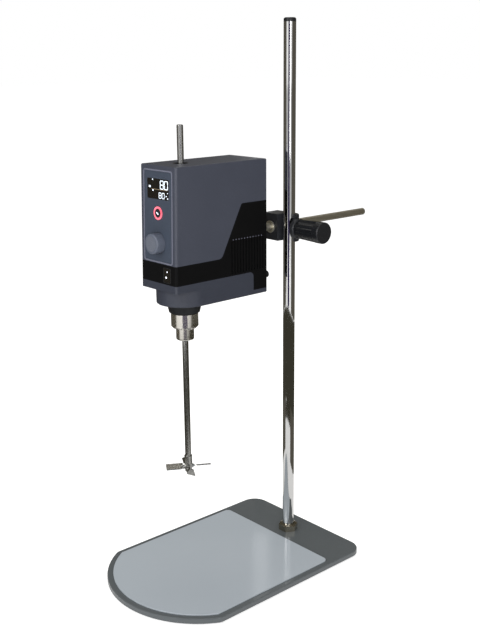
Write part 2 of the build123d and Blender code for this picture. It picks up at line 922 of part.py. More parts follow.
core_length = motor_height - 2 * motor_core_margin
with BuildPart() as motor_rotor:
    with Locations(level(pulley_z, motor_y)):
        Cylinder(
            motor_shaft_r, motor_foot + motor_height + motor_wall - pulley_z, align=upward
        )
    with Locations(level(motor_foot + motor_core_margin, motor_y)):
        Cylinder(motor_core_r, core_length, align=upward)
save(motor_rotor, "motor_rotor")

with BuildPart() as motor_screws:
    with BuildSketch(level(chassis_z, motor_y)):
        with PolarLocations(motor_screw_ring, 4, start_angle=45):
            Circle(screw_head_r)
    extrude(amount=-screw_head_thick)
    with BuildSketch(level(chassis_z, motor_y)):
        with PolarLocations(motor_screw_ring, 4, start_angle=45):
            Circle(post_screw_r)
    extrude(amount=chassis_thick + 2 * motor_wall)
save(motor_screws, "motor_screws")

# Belt drive below the chassis
for name, y, track_r, bore_r in (
    ("motor_pulley", motor_y, motor_pulley_r, motor_shaft_r),
    ("spindle_pulley", shaft_y, spindle_pulley_r, spindle_r),
):
    with BuildPart() as pulley:
        with Locations(level(pulley_z, y)):
            Cylinder(track_r, pulley_height, align=upward)
            Cylinder(track_r + pulley_rim_over, pulley_rim, align=upward)
        with Locations(level(pulley_z + pulley_height, y)):
            Cylinder(track_r + pulley_rim_over, pulley_rim, align=downward)
        with Locations(level(pulley_z, y)):
            Cylinder(bore_r, pulley_height, align=upward, mode=Mode.SUBTRACT)
    save(pulley, name)


def belt_loop(grow):
    """The flat loop round both pulleys, grown outwards from their tracks."""
    with BuildSketch(mode=Mode.PRIVATE) as loop:
        Circle(spindle_pulley_r + grow)
        with Locations((0, motor_from_shaft)):
            Circle(motor_pulley_r + grow)
        make_hull()
    return loop.sketch


with BuildPart() as drive_belt:
    with BuildSketch(level(pulley_z + pulley_rim + belt_gap)):
        add(belt_loop(belt_gap + belt_thick))
        add(belt_loop(belt_gap), mode=Mode.SUBTRACT)
    extrude(amount=pulley_height - 2 * (pulley_rim + belt_gap))
save(drive_belt, "drive_belt")

with BuildPart() as spindle:
    with Locations(level(spindle_top)):
        Cylinder(spindle_r, nose_z + spindle_top - chuck_top + chuck_socket, align=downward)
        Cylinder(
            spindle_bore_r,
            nose_z + spindle_top - chuck_top + chuck_socket,
            align=downward,
            mode=Mode.SUBTRACT,
        )
save(spindle, "spindle")

for name, at in (("lower_bearing", lower_bearing_at), ("upper_bearing", upper_bearing_at)):
    with BuildPart() as bearing:
        with Locations(level(at)):
            Cylinder(bearing_r, bearing_thick, align=upward)
            Cylinder(bearing_bore_r, bearing_thick, align=upward, mode=Mode.SUBTRACT)
    save(bearing, name)

with BuildPart() as bearing_flange:
    with BuildSketch(level(0)):
        Circle(flange_top_r)
    with BuildSketch(level(-flange_drop)):
        Circle(flange_low_r)
    loft()
    with Locations(level(0)):
        Cylinder(flange_spigot_r, flange_spigot, align=upward)
    with Locations(level(-flange_drop)):
        Cylinder(flange_lip_r, flange_drop + flange_spigot, align=upward, mode=Mode.SUBTRACT)
    with Locations(level(lower_bearing_at)):
        Cylinder(bearing_r, flange_spigot - lower_bearing_at, align=upward, mode=Mode.SUBTRACT)
    with BuildSketch(level(0)):
        with PolarLocations(flange_screw_ring, flange_screws_count, start_angle=45):
            Circle(post_screw_r)
    extrude(amount=-flange_drop / 2, mode=Mode.SUBTRACT)
save(bearing_flange, "bearing_flange")

with BuildPart() as flange_screws:
    with BuildSketch(level(floor_wall)):
        with PolarLocations(flange_screw_ring, flange_screws_count, start_angle=45):
            Circle(screw_head_r)
    extrude(amount=screw_head_thick)
    with BuildSketch(level(floor_wall)):
        with PolarLocations(flange_screw_ring, flange_screws_count, start_angle=45):
            Circle(post_screw_r)
    extrude(amount=-(floor_wall + flange_drop / 2))
save(flange_screws, "flange_screws")

with BuildPart() as housing_screws:
    with BuildSketch(level(0)):
        with Locations(*posts):
            Circle(screw_head_r)
    extrude(amount=screw_head_thick)
    with BuildSketch(level(screw_head_thick)):
        with Locations(*posts):
            Circle(post_screw_r)
    extrude(amount=chassis_z + chassis_thick - screw_head_thick)
save(housing_screws, "housing_screws")

with BuildPart() as top_bush:
    with Locations(level(head_height)):
        Cylinder(top_hole_r, bush_height, align=downward)
    with Locations(level(head_height - wall)):
        Cylinder(bush_flange_r, bush_flange_thick, align=downward)
    with Locations(level(head_height)):
        Cylinder(bush_bore_r, bush_height, align=downward, mode=Mode.SUBTRACT)
save(top_bush, "top_bush")

# Keyed chuck. Heights are above the bench here.
chuck = Plane(origin=(head_x, shaft_y, 0)).rotated((0, 0, chuck_turn))
jaw_out = jaw_travel * sin(jaw_lean)
jaw_up = jaw_travel * cos(jaw_lean)
jaw_angles = (60, 180, 300)
with BuildPart() as chuck_body:
    with Locations((head_x, shaft_y, chuck_top)):
        Cylinder(chuck_r, chuck_top - chuck_end, align=downward)
    fillet(chuck_body.faces().sort_by(Axis.Z)[0].edges(), chuck_edge_r)
    with Locations((head_x, shaft_y, chuck_top)):
        Cylinder(spindle_r, chuck_socket, align=downward, mode=Mode.SUBTRACT)
        Cylinder(
            spindle_bore_r + free_gap, chuck_top - chuck_end, align=downward, mode=Mode.SUBTRACT
        )
    slot_height = nose_z - jaw_top + jaw_up + free_gap - chuck_end
    with BuildSketch(chuck.offset(chuck_end)):
        for angle in jaw_angles:
            with Locations(Location((0, 0, 0), (0, 0, angle))):
                Rectangle(
                    jaw_outer + jaw_out + free_gap,
                    jaw_width + 2 * fit_gap,
                    align=(Align.MIN, Align.CENTER),
                )
    extrude(amount=slot_height, mode=Mode.SUBTRACT)
    for angle in (0, 120, 240):
        turned = radians(angle + chuck_turn)
        spoke = Vector(cos(turned), sin(turned), 0)
        mouth = Vector(head_x, shaft_y, chuck_end + key_hole_up) + spoke * chuck_r
        with BuildSketch(Plane(origin=mouth, z_dir=-spoke)):
            Circle(key_hole_r)
        extrude(amount=key_hole_depth, both=True, mode=Mode.SUBTRACT)
save(chuck_body, "chuck_body")

for name, angle in zip(("chuck_jaw_a", "chuck_jaw_b", "chuck_jaw_c"), jaw_angles):
    with BuildPart() as jaw:
        with BuildSketch(chuck.offset(chuck_end - jaw_tip)):
            with Locations(Location((0, 0, 0), (0, 0, angle))):
                with Locations((jaw_inner, 0)):
                    Rectangle(jaw_outer - jaw_inner, jaw_width, align=(Align.MIN, Align.CENTER))
        extrude(amount=nose_z - jaw_top - chuck_end + jaw_tip)
    save(jaw, name)

with BuildPart() as chuck_sleeve:
    with BuildSketch(Plane(origin=(head_x, shaft_y, 0), x_dir=(1, 0, 0), z_dir=(0, -1, 0))):
        with BuildLine():
            Polyline(
                (chuck_r + fit_gap, chuck_top),
                (chuck_sleeve_r - outer_edge_r / 2, chuck_top),
                (chuck_sleeve_r, chuck_top - outer_edge_r / 2),
                (chuck_sleeve_r, sleeve_end),
                (chuck_bevel_r, sleeve_end - chuck_bevel),
                (chuck_r + fit_gap, sleeve_end - chuck_bevel),
                close=True,
            )
        make_face()
    revolve(axis=Axis((head_x, shaft_y, 0), (0, 0, 1)))
    tooth_gap = 2 * pi * chuck_bevel_r / chuck_teeth / 2
    with BuildSketch(Plane(origin=(head_x, shaft_y, sleeve_end))):
        with PolarLocations(chuck_bevel_r + outer_edge_r, chuck_teeth):
            Rectangle(2 * outer_edge_r, tooth_gap)
    extrude(amount=-chuck_bevel, mode=Mode.SUBTRACT)
save(chuck_sleeve, "chuck_sleeve")

# Stirring shaft and propeller
with BuildPart() as stirring_shaft:
    with Locations((head_x, shaft_y, shaft_end)):
        Cylinder(shaft_r, shaft_length, align=upward)
    fillet(stirring_shaft.faces().sort_by(Axis.Z)[-1].edges(), shaft_r / 3)
save(stirring_shaft, "stirring_shaft")

screw_spoke = Vector(cos(hub_screw_turn), sin(hub_screw_turn), 0)
screw_seat = Vector(head_x, shaft_y, shaft_end + hub_screw_up) + screw_spoke * shaft_r

def blade_plane(turn, r, pitch):
    """A plane across the blade at radius r, its x along the pitched chord."""
    spoke = Vector(cos(turn), sin(turn), 0)
    across = Vector(-sin(turn), cos(turn), 0)
    chord = across * cos(radians(pitch)) - Vector(0, 0, sin(radians(pitch)))
    middle = Vector(head_x, shaft_y, shaft_end + blade_up)
    return Plane(origin=middle + spoke * r, x_dir=chord, z_dir=spoke)


with BuildPart() as propeller:
    for number in range(blade_count):
        turned = radians(blade_turn + 360 / blade_count * number)
        with BuildSketch(blade_plane(turned, shaft_r + blade_thick / 2, blade_root_pitch)):
            Rectangle(blade_root_chord, blade_thick)
        with BuildSketch(blade_plane(turned, blade_root_r, blade_pitch)):
            Rectangle(blade_chord, blade_thick)
        loft(ruled=True)
        with BuildSketch(blade_plane(turned, blade_root_r, blade_pitch)):
            Rectangle(blade_chord, blade_thick)
        extrude(amount=blade_tip_r - blade_root_r)
    with BuildSketch(Plane(origin=(head_x, shaft_y, 0), x_dir=(1, 0, 0), z_dir=(0, -1, 0))):
        with BuildLine():
            Polyline(
                (0, shaft_end),
                (hub_tip_r, shaft_end),
                (hub_r, shaft_end + hub_cone),
                (hub_r, shaft_end + hub_height),
                (0, shaft_end + hub_height),
                close=True,
            )
        make_face()
    revolve(axis=Axis((head_x, shaft_y, 0), (0, 0, 1)))
    with Locations((head_x, shaft_y, shaft_end)):
        Cylinder(shaft_r, hub_height, align=upward, mode=Mode.SUBTRACT)
    with BuildSketch(Plane(origin=screw_seat, z_dir=screw_spoke)):
        Circle(hub_screw_r)
    extrude(amount=hub_r, mode=Mode.SUBTRACT)
save(propeller, "propeller")

with BuildPart() as hub_screw:
    with BuildSketch(Plane(origin=screw_seat, z_dir=screw_spoke)):
        Circle(hub_screw_r)
    extrude(amount=hub_r - shaft_r)
save(hub_screw, "hub_screw")

# Mains side
with BuildPart() as power_board:
    with BuildSketch(level(chassis_wall_top, front_y)):
        with Locations((0, power_board_front)):
            Rectangle(
                2 * power_board_half, power_board_length, align=(Align.CENTER, Align.MIN)
            )
    extrude(amount=power_board_thick)
    with BuildSketch(level(chassis_wall_top + power_board_thick, front_y)):
        with Locations((coil_x, power_board_front + power_board_length * 0.29)):
            Rectangle(coil_width, power_board_length * 0.37)
        with Locations(
            (capacitor_x, power_board_front + power_board_length * 0.17),
            (capacitor_x, power_board_front + power_board_length * 0.43),
        ):
            Circle(capacitor_r)
    extrude(amount=coil_height)
    with BuildSketch(level(chassis_wall_top + power_board_thick, front_y)):
        with Locations((0, power_board_back - power_board_length * 0.2)):
            Rectangle(2 * terminal_half, power_board_length * 0.14)
    extrude(amount=terminal_height)
save(power_board, "power_board")

with BuildPart() as power_inlet:
    with BuildSketch(on_back(inlet_x, inlet_up)):
        RectangleRounded(inlet_flange_width, inlet_flange_height, inlet_corner_r)
    extrude(amount=inlet_flange_thick)
    with BuildSketch(on_back(inlet_x, inlet_up)):
        Rectangle(inlet_width, inlet_height)
    extrude(amount=-inlet_depth)
    with BuildSketch(on_back(inlet_x, inlet_up, inlet_flange_thick)):
        RectangleRounded(inlet_opening_width, inlet_opening_height, inlet_corner_r)
    extrude(amount=-inlet_cavity, mode=Mode.SUBTRACT)
save(power_inlet, "power_inlet")

with BuildPart() as inlet_pins:
    with BuildSketch(on_back(inlet_x, inlet_up, inlet_flange_thick - inlet_cavity)):
        with Locations((0, pin_rise), (-pin_spread, -pin_rise), (pin_spread, -pin_rise)):
            Rectangle(pin_thick, pin_wide)
    extrude(amount=pin_length)
save(inlet_pins, "inlet_pins")

switch_pivot = on_back(switch_x, switch_up, switch_flange_thick).origin
with BuildPart() as switch_frame:
    with BuildSketch(on_back(switch_x, switch_up)):
        RectangleRounded(
            switch_width + 2 * switch_frame_edge,
            switch_height + 2 * switch_frame_edge,
            switch_corner_r,
        )
    extrude(amount=switch_flange_thick)
    with BuildSketch(on_back(switch_x, switch_up)):
        Rectangle(switch_width, switch_height)
    extrude(amount=-switch_depth)
    with BuildSketch(Plane(origin=switch_pivot, x_dir=(0, 1, 0), z_dir=(1, 0, 0))):
        Circle(rocker_r + free_gap)
    extrude(amount=rocker_width / 2 + free_gap, both=True, mode=Mode.SUBTRACT)
save(switch_frame, "switch_frame")

rocker_out = (0, cos(switch_tilt), sin(switch_tilt))
with BuildPart() as power_switch:
    with BuildSketch(Plane(origin=switch_pivot, x_dir=rocker_out, z_dir=(1, 0, 0))):
        Circle(rocker_r)
        Rectangle(
            2 * rocker_r, 2 * rocker_r, align=(Align.MIN, Align.CENTER), mode=Mode.SUBTRACT
        )
    extrude(amount=rocker_width / 2, both=True)
save(power_switch, "power_switch")

with BuildPart() as fuse_holder:
    with BuildSketch(on_back(fuse_x, fuse_up, -wall)):
        Circle(fuse_holder_r)
    extrude(amount=-fuse_depth)
    with BuildSketch(on_back(fuse_x, fuse_up, -wall)):
        Circle(fuse_hole_r)
    extrude(amount=wall)
    with BuildSketch(on_back(fuse_x, fuse_up)):
        Circle(fuse_plug_r + fit_gap)
    extrude(amount=-fuse_plug_reach - free_gap, mode=Mode.SUBTRACT)
save(fuse_holder, "fuse_holder")

with BuildPart() as fuse_cap:
    with BuildSketch(on_back(fuse_x, fuse_up, free_gap)):
        Circle(fuse_cap_r)
    extrude(amount=fuse_cap_reach - free_gap)
    fillet(fuse_cap.faces().sort_by(Axis.Y)[-1].edges(), plate_edge_r)
    with BuildSketch(on_back(fuse_x, fuse_up, free_gap)):
        Circle(fuse_plug_r)
    extrude(amount=-fuse_plug_reach)
save(fuse_cap, "fuse_cap")
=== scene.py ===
from math import atan2, cos, pi, radians, sin

import bpy
from mathutils import Matrix, Vector


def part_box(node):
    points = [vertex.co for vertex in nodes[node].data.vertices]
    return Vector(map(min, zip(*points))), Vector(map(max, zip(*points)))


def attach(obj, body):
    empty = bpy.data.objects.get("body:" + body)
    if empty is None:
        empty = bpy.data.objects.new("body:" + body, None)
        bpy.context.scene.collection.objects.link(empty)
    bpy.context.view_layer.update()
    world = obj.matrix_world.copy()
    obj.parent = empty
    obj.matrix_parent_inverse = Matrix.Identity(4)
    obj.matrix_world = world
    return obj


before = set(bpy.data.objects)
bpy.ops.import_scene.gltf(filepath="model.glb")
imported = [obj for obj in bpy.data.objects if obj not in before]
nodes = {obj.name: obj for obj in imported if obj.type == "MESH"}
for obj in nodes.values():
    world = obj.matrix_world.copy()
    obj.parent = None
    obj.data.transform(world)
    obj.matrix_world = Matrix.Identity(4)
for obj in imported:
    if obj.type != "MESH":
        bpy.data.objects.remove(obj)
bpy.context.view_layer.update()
mm = 0.001

# Places on the frame, in metres
shellLow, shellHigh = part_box("upper_shell")
poleLow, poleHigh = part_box("pole")
clampLow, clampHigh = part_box("clamp_body")
headX = (shellLow.x + shellHigh.x) / 2
halfWidth = (shellHigh.x - shellLow.x) / 2
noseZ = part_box("lower_housing")[0].z
poleY = (poleLow.y + poleHigh.y) / 2
clampZ = (clampLow.z + clampHigh.z) / 2
headFront = -145 * mm  # the foot of the leaning front, level with the nose
lean = radians(1.53)
faceTurn = (pi / 2 - lean, 0, 0)  # turns a flat piece onto the leaning front


def onFace(across, up, out=0.0):  # a point on the head's leaning front, in mm
    return Vector((
        headX + across * mm,
        headFront + up * mm * sin(lean) - out * mm * cos(lean),
        noseZ + up * mm * cos(lean) + out * mm * sin(lean),
    ))


def onSide(back, up, out=0.0, flank=1):  # a point on the head's right or left side, in mm
    return Vector((
        headX + flank * (halfWidth + out * mm),
        headFront + back * mm,
        noseZ + up * mm,
    ))


print("stage: camera")
cameraFit = {
    "azimuth": radians(48.52),
    "elevation": radians(15.32),
    "roll": radians(-0.58),
    "lens": 54.52,
    "sensor": 36,
    "clip": (0.05, 60),
    "place": (0.91219, -0.83748, 0.67143),
}


def placeCamera(fit):
    data = bpy.data.cameras.new("photoCamera")
    data.lens, data.sensor_width = fit["lens"], fit["sensor"]
    data.clip_start, data.clip_end = fit["clip"]
    camera = bpy.data.objects.new("photoCamera", data)
    bpy.context.scene.collection.objects.link(camera)
    turn, rise, tilt = fit["azimuth"], fit["elevation"], fit["roll"]
    back = Vector((sin(turn) * cos(rise), -cos(turn) * cos(rise), sin(rise)))
    right = (-back).cross(Vector((0, 0, 1))).normalized()
    up = right.cross(-back)
    across = right * cos(tilt) + up * sin(tilt)
    over = up * cos(tilt) - right * sin(tilt)
    looking = Matrix((across, over, back)).transposed().to_4x4()
    camera.matrix_world = Matrix.Translation(fit["place"]) @ looking
    bpy.context.scene.camera = camera


placeCamera(cameraFit)


class Wire:
    # a shader value that works in Python expressions
    def __init__(self, tree, socket):
        self.tree, self.socket = tree, socket

    def maths(self, operation, *others):
        values = {0: self}
        values.update({place + 1: other for place, other in enumerate(others)})
        return addNode(self.tree, "ShaderNodeMath", {"operation": operation}, values)

    def fellow(self, out):  # another output of the node that this value comes from
        return Wire(self.tree, self.socket.node.outputs[out])

    def __add__(self, other):
        return self.maths("ADD", other)

    __radd__ = __add__

    def __mul__(self, other):
        return self.maths("MULTIPLY", other)

    __rmul__ = __mul__

    def __sub__(self, other):
        return self.maths("SUBTRACT", other)

    def __rsub__(self, other):
        return (self * -1) + other

    def __pow__(self, other):
        return self.maths("POWER", other)


def addNode(tree, kind, settings=None, values=None, out=0):
    # values are numbers or wires; out is the output that comes back, None for an end node
    node = tree.nodes.new(kind)
    for name, value in (settings or {}).items():
        setattr(node, name, value)
    for name, value in (values or {}).items():
        if isinstance(value, Wire):
            tree.links.new(value.socket, node.inputs[name])
        else:
            node.inputs[name].default_value = value
    return None if out is None else Wire(tree, node.outputs[out])


def emptyTree(holder):
    holder.use_nodes = True
    holder.node_tree.nodes.clear()
    return holder.node_tree


def objectPoint(tree, centre=(0, 0, 0), turn=(0, 0, 0), stretch=(1, 1, 1)):
    place = addNode(tree, "ShaderNodeTexCoord", out="Object")
    return addNode(tree, "ShaderNodeMapping", {"vector_type": "TEXTURE"},
                   {"Vector": place, "Location": centre, "Rotation": turn, "Scale": stretch})


def noise(tree, point, scale, detail=3.0, rough=0.55):
    return addNode(tree, "ShaderNodeTexNoise", None,
                   {"Vector": point, "Scale": scale, "Detail": detail, "Roughness": rough})


def spread(value, low, high, toLow=0.0, toHigh=1.0):  # a smooth change from toLow to toHigh
    settings = {"interpolation_type": "SMOOTHSTEP", "clamp": True}
    ends = {"From Min": low, "From Max": high, "To Min": toLow, "To Max": toHigh}
    return addNode(value.tree, "ShaderNodeMapRange", settings, {"Value": value, **ends})


def sway(value, amount):  # a noise, made to swing about zero
    return (value - 0.5) * amount


def blendColours(tree, share, first, second):
    ends = [shade if isinstance(shade, Wire) else (*shade, 1) for shade in (first, second)]
    return addNode(tree, "ShaderNodeMix", {"data_type": "RGBA", "blend_type": "MIX"},
                   {0: share, 6: ends[0], 7: ends[1]}, out=2)


def bump(tree, height, distance, under=None):
    values = {"Height": height, "Distance": distance, "Strength": 1.0}
    if under:
        values["Normal"] = under
    return addNode(tree, "ShaderNodeBump", None, values)


def newFinish(name, fixed, varied):
    # fixed: plain numbers for the shader; varied: a function that returns its wired sockets
    material = bpy.data.materials.new(name)
    tree = emptyTree(material)
    shader = addNode(tree, "ShaderNodeBsdfPrincipled", None, {**fixed, **varied(tree)})
    addNode(tree, "ShaderNodeOutputMaterial", None, {"Surface": shader}, out=None)
    return material


print("stage: finishes")


def mouldedPlastic(name, looks):
    # fine grain, a slow change of shade, and a few upright scuffs
    def wires(tree):
        point = objectPoint(tree)
        grain = noise(tree, point, looks["grain"], detail=2)
        cloud = noise(tree, point, scale=14, detail=4)
        upright = objectPoint(tree, stretch=(1, 1, 0.12))
        streaks = noise(tree, upright, scale=420, detail=5, rough=0.7)
        scuff = spread(streaks, low=0.62, high=0.78)
        colour = blendColours(tree, cloud, looks["dark"], looks["light"])
        colour = blendColours(tree, scuff * looks["scuffs"], colour, looks["scuffColour"])
        rough = looks["rough"] + sway(grain, looks["roughChange"]) + sway(cloud, 0.06)
        return {"Base Color": colour, "Roughness": rough,
                "Normal": bump(tree, grain, looks["grainDepth"])}
    return newFinish(name, {"IOR": 1.49, "Specular IOR Level": looks["shine"]}, wires)


shellLooks = {
    "dark": (0.043, 0.048, 0.068), "light": (0.053, 0.059, 0.082),
    "scuffColour": (0.10, 0.11, 0.13), "scuffs": 0.05,
    "grain": 2600, "grainDepth": 0.000018, "rough": 0.43, "roughChange": 0.12, "shine": 0.5,
}
lowerLooks = {**shellLooks, "dark": (0.030, 0.034, 0.049), "light": (0.038, 0.043, 0.061)}
coverLooks = {
    "dark": (0.0038, 0.0038, 0.0040), "light": (0.0058, 0.0058, 0.0061),
    "scuffColour": (0.03, 0.03, 0.03), "scuffs": 0.05,
    "grain": 2600, "grainDepth": 0.000012, "rough": 0.34, "roughChange": 0.1, "shine": 0.08,
}
blackLooks = {
    "dark": (0.0095, 0.0102, 0.0120), "light": (0.0140, 0.0150, 0.0170),
    "scuffColour": (0.06, 0.06, 0.065), "scuffs": 0.08,
    "grain": 1900, "grainDepth": 0.00002, "rough": 0.36, "roughChange": 0.14, "shine": 0.42,
}
gripLooks = {**blackLooks, "rough": 0.22, "shine": 0.6}
shellGrey = mouldedPlastic("shellGrey", shellLooks)
coverBlack = mouldedPlastic("coverBlack", coverLooks)
knobBlack = mouldedPlastic("knobBlack", blackLooks)
gripBlack = mouldedPlastic("gripBlack", gripLooks)
lowerGrey = mouldedPlastic("lowerGrey", lowerLooks)


def panelFilm(name, looks):
    def wires(tree):
        point = objectPoint(tree)
        grain = noise(tree, point, scale=3400, detail=2)
        cloud = noise(tree, point, scale=22, detail=3)
        return {"Base Color": blendColours(tree, cloud, looks["dark"], looks["light"]),
                "Roughness": looks["rough"] + sway(grain, 0.08),
                "Normal": bump(tree, grain, looks["grainDepth"])}
    return newFinish(name, {"IOR": 1.5}, wires)


panelGrey = panelFilm("panelGrey", {
    "dark": (0.047, 0.060, 0.086), "light": (0.053, 0.066, 0.094),
    "rough": 0.36, "grainDepth": 0.000008,
})


def powderCoat(name, looks):
    # orange peel, and bright metal where the coat is rubbed
    def wires(tree):
        point = objectPoint(tree)
        peel = noise(tree, point, scale=900, rough=0.6)
        cloud = noise(tree, point, scale=60, detail=4)
        patches = noise(tree, point, scale=210, detail=6, rough=0.75)
        rubbed = spread(patches, low=0.66, high=0.8)
        colour = blendColours(tree, cloud, looks["dark"], looks["light"])
        return {"Base Color": blendColours(tree, rubbed * looks["wear"], colour, looks["worn"]),
                "Roughness": looks["rough"] + sway(peel, 0.2) - rubbed * 0.06,
                "Normal": bump(tree, peel, looks["peelDepth"])}
    return newFinish(name, {"IOR": 1.5}, wires)


clampBlack = powderCoat("clampBlack", {
    "dark": (0.012, 0.013, 0.016), "light": (0.020, 0.022, 0.026),
    "worn": (0.075, 0.078, 0.082), "wear": 0.25, "rough": 0.38, "peelDepth": 0.00006,
})


def platePaint(name, looks):
    # lacquered paint with a soft peel and specks of dust
    def wires(tree):
        point = objectPoint(tree)
        peel = noise(tree, point, scale=520, rough=0.5)
        cloud = noise(tree, point, scale=9, detail=5)
        specks = spread(noise(tree, point, scale=1500, detail=2), low=0.74, high=0.8)
        colour = blendColours(tree, cloud, looks["dark"], looks["light"])
        return {"Base Color": blendColours(tree, specks * looks["specks"], colour, looks["dust"]),
                "Roughness": looks["rough"] + sway(cloud, 0.1) + specks * 0.2,
                "Normal": bump(tree, peel, looks["peelDepth"])}
    return newFinish(name, {"IOR": 1.5, "Coat Weight": 0.35, "Coat Roughness": 0.06}, wires)


plateGrey = platePaint("plateGrey", {
    "dark": (0.088, 0.099, 0.106), "light": (0.102, 0.113, 0.119),
    "dust": (0.2, 0.21, 0.21), "specks": 0.3, "rough": 0.25, "peelDepth": 0.00004,
})


def glossPad(name, looks):
    # a glossy sheet with faint wiping scratches
    def wires(tree):
        point = objectPoint(tree)
        cloud = noise(tree, point, scale=7, detail=4)
        wiped = objectPoint(tree, stretch=(1, 0.2, 1), turn=(0, 0, 0.5))
        swirl = noise(tree, wiped, scale=160, detail=6, rough=0.7)
        scratch = spread(swirl, low=0.66, high=0.74)
        colour = blendColours(tree, cloud, looks["dark"], looks["light"])
        return {"Base Color": blendColours(tree, scratch * 0.12, colour, looks["mark"]),
                "Roughness": looks["rough"] + sway(cloud, 0.06) + scratch * 0.12,
                "Normal": bump(tree, noise(tree, point, scale=38, detail=2), looks["waveDepth"])}
    return newFinish(name, {"IOR": 1.5}, wires)


padGloss = glossPad("padGloss", {
    "dark": (0.375, 0.415, 0.452), "light": (0.405, 0.443, 0.480), "mark": (0.30, 0.33, 0.36),
    "rough": 0.13, "waveDepth": 0.00008,
})


def brightMetal(name, looks):
    # polished or ground metal: fine marks run along one axis or round the shaft
    def wires(tree):
        point = objectPoint(tree, stretch=looks["marks"])
        lines = noise(tree, point, looks["scale"], detail=4, rough=0.7)
        cloud = noise(tree, objectPoint(tree), scale=45, detail=4)
        spots = spread(noise(tree, objectPoint(tree), scale=700), low=0.66, high=0.8)
        colour = blendColours(tree, cloud, looks["dark"], looks["light"])
        colour = blendColours(tree, spots * looks["spots"], colour, looks["spotColour"])
        rough = looks["rough"] + sway(lines, looks["roughChange"]) + spots * 0.1
        return {"Base Color": colour, "Roughness": rough,
                "Normal": bump(tree, lines, looks["depth"])}
    return newFinish(name, {"Metallic": 1.0}, wires)


poleChrome = brightMetal("poleChrome", {
    "dark": (0.70, 0.70, 0.69), "light": (0.80, 0.80, 0.80),
    "spotColour": (0.35, 0.33, 0.3), "spots": 0.12,
    "marks": (1, 1, 25), "scale": 900, "rough": 0.055, "roughChange": 0.05, "depth": 0.000002,
})
wornNickel = brightMetal("wornNickel", {
    "dark": (0.70, 0.67, 0.61), "light": (0.82, 0.79, 0.73),
    "spotColour": (0.3, 0.27, 0.22), "spots": 0.3,
    "marks": (1, 1, 0.1), "scale": 1500, "rough": 0.20, "roughChange": 0.12, "depth": 0.000005,
})
footNickel = brightMetal("footNickel", {
    "dark": (0.46, 0.42, 0.33), "light": (0.60, 0.56, 0.46),
    "spotColour": (0.2, 0.17, 0.12), "spots": 0.3,
    "marks": (1, 1, 0.15), "scale": 900, "rough": 0.19, "roughChange": 0.12, "depth": 0.00001,
})
groundSteel = brightMetal("groundSteel", {
    "dark": (0.40, 0.40, 0.38), "light": (0.52, 0.52, 0.50),
    "spotColour": (0.18, 0.16, 0.14), "spots": 0.25,
    "marks": (1, 1, 0.06), "scale": 1300, "rough": 0.24, "roughChange": 0.16, "depth": 0.000008,
})
rodSteel = brightMetal("rodSteel", {
    "dark": (0.74, 0.71, 0.60), "light": (0.84, 0.81, 0.71),
    "spotColour": (0.26, 0.22, 0.17), "spots": 0.25,
    "marks": (1, 20, 1), "scale": 1300, "rough": 0.36, "roughChange": 0.14, "depth": 0.000006,
})
turnedBrass = brightMetal("turnedBrass", {
    "dark": (0.52, 0.38, 0.16), "light": (0.64, 0.48, 0.22),
    "spotColour": (0.2, 0.13, 0.06), "spots": 0.3,
    "marks": (0.1, 1, 1), "scale": 1500, "rough": 0.25, "roughChange": 0.15, "depth": 0.000008,
})
castAluminium = brightMetal("castAluminium", {
    "dark": (0.50, 0.51, 0.52), "light": (0.62, 0.63, 0.64),
    "spotColour": (0.3, 0.3, 0.3), "spots": 0.3,
    "marks": (1, 1, 1), "scale": 600, "rough": 0.42, "roughChange": 0.2, "depth": 0.00003,
})


def rubberFinish(name, looks):
    def wires(tree):
        point = objectPoint(tree)
        grain = noise(tree, point, scale=700, detail=4)
        cloud = noise(tree, point, scale=60, detail=4)
        return {"Base Color": blendColours(tree, cloud, looks["dark"], looks["light"]),
                "Roughness": looks["rough"] + sway(grain, 0.15),
                "Normal": bump(tree, grain, distance=0.00003)}
    return newFinish(name, {"IOR": 1.5}, wires)


footRubber = rubberFinish("footRubber", {
    "dark": (0.012, 0.012, 0.012), "light": (0.022, 0.022, 0.022), "rough": 0.75,
})
beltRubber = rubberFinish("beltRubber", {
    "dark": (0.010, 0.010, 0.010), "light": (0.018, 0.018, 0.018), "rough": 0.7,
})
boardGreen = rubberFinish("boardGreen", {
    "dark": (0.010, 0.075, 0.030), "light": (0.018, 0.110, 0.045), "rough": 0.35,
})
lcdDark = rubberFinish("lcdDark", {
    "dark": (0.004, 0.004, 0.004), "light": (0.007, 0.006, 0.005), "rough": 0.3,
})
keyDark = rubberFinish("keyDark", {
    "dark": (0.012, 0.016, 0.021), "light": (0.020, 0.026, 0.032), "rough": 0.3,
})


def smokedGlass(name, looks):
    # dark glass with finger smears in its gloss
    def wires(tree):
        point = objectPoint(tree)
        smear = noise(tree, objectPoint(tree, stretch=(1, 1, 0.3)), scale=130, detail=5, rough=0.65)
        warm = noise(tree, point, scale=60)
        wave = noise(tree, point, scale=70, detail=2)
        return {"Base Color": blendColours(tree, warm, looks["dark"], looks["light"]),
                "Roughness": spread(smear, low=0.3, high=0.8, **looks["gloss"]),
                "Normal": bump(tree, wave, looks["waveDepth"])}
    return newFinish(name, {"IOR": 1.5, "Coat Weight": 0.3, "Coat Roughness": 0.04}, wires)


displayGlass = smokedGlass("displayGlass", {
    "dark": (0.0035, 0.0034, 0.0032), "light": (0.0125, 0.0105, 0.0075),
    "gloss": {"toLow": 0.05, "toHigh": 0.16}, "waveDepth": 0.00001,
})


def glowing(name, looks):
    def wires(tree):
        cloud = noise(tree, objectPoint(tree), looks["scale"], detail=2)
        colour = blendColours(tree, cloud, looks["dark"], looks["light"])
        return {"Base Color": colour, "Emission Color": colour,
                "Roughness": 0.3 + sway(cloud, 0.1)}
    return newFinish(name, {"Emission Strength": looks["glow"], "IOR": 1.5}, wires)


